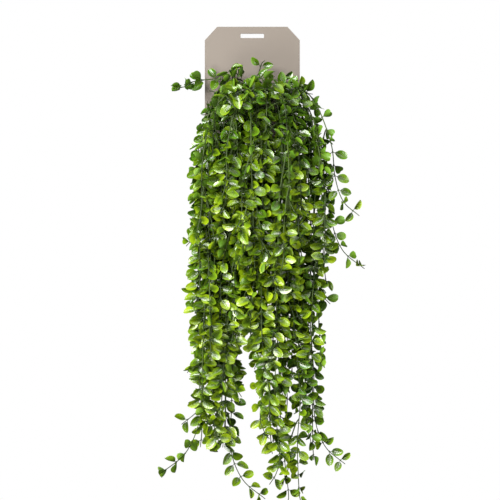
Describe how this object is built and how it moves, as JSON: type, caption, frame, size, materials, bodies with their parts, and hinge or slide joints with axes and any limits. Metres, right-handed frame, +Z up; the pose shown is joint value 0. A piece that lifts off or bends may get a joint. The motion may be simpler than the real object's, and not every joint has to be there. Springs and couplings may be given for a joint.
{
  "type": "artificial creeping fig hanging bush on a hang card",
  "caption": "Trailing artificial creeping fig: leafy plastic vines arching from a moulded stock tied to a flat hang card with a slot at the top.",
  "frame": {"origin": "middle of the hang slot on the back face of the card", "axes": "+Z up, along the hanging vines; +Y out of the back of the card, towards the wall; +X to the viewer's right"},
  "size_m": [0.2737, 0.1342, 0.6544],
  "materials": {
    "card": "matt taupe printed board",
    "stock": "satin dark green moulded plastic",
    "tie": "black nylon",
    "foliage": "satin green moulded plastic, yellower at the leaf edges",
    "stem": "dull grey-green plastic over wire"
  },
  "bodies": {
    "root": {"header_card": "card", "stem_stock": "stock", "card_tie": "tie", "vine_mid_back": "foliage", "vine_right_back": "foliage", "vine_left_tail": "foliage", "vine_left_back": "foliage", "vine_left_cross": "foliage", "vine_mid_left": "foliage", "vine_mid_low": "foliage", "vine_mid_inner": "foliage", "vine_right_long": "foliage", "vine_right_wall": "foliage", "vine_left_wall": "foliage", "vine_left_sweep": "foliage", "vine_left_inner": "foliage", "vine_mid_long": "foliage", "vine_right_inner": "foliage", "vine_right_front": "foliage", "vine_right_sweep": "foliage", "vine_left_edge": "foliage", "vine_crown_front_left": "foliage", "vine_mid_front": "foliage", "vine_crown_front_right": "foliage", "vine_right_edge": "foliage", "vine_right_low": "foliage", "vine_top_left": "foliage", "vine_crown_left": "foliage", "vine_crown_front": "foliage", "vine_right_high": "foliage", "vine_shoulder": "foliage", "vine_top_sprig": "foliage", "vine_top_bunch": "foliage"}
  },
  "joints": []
}
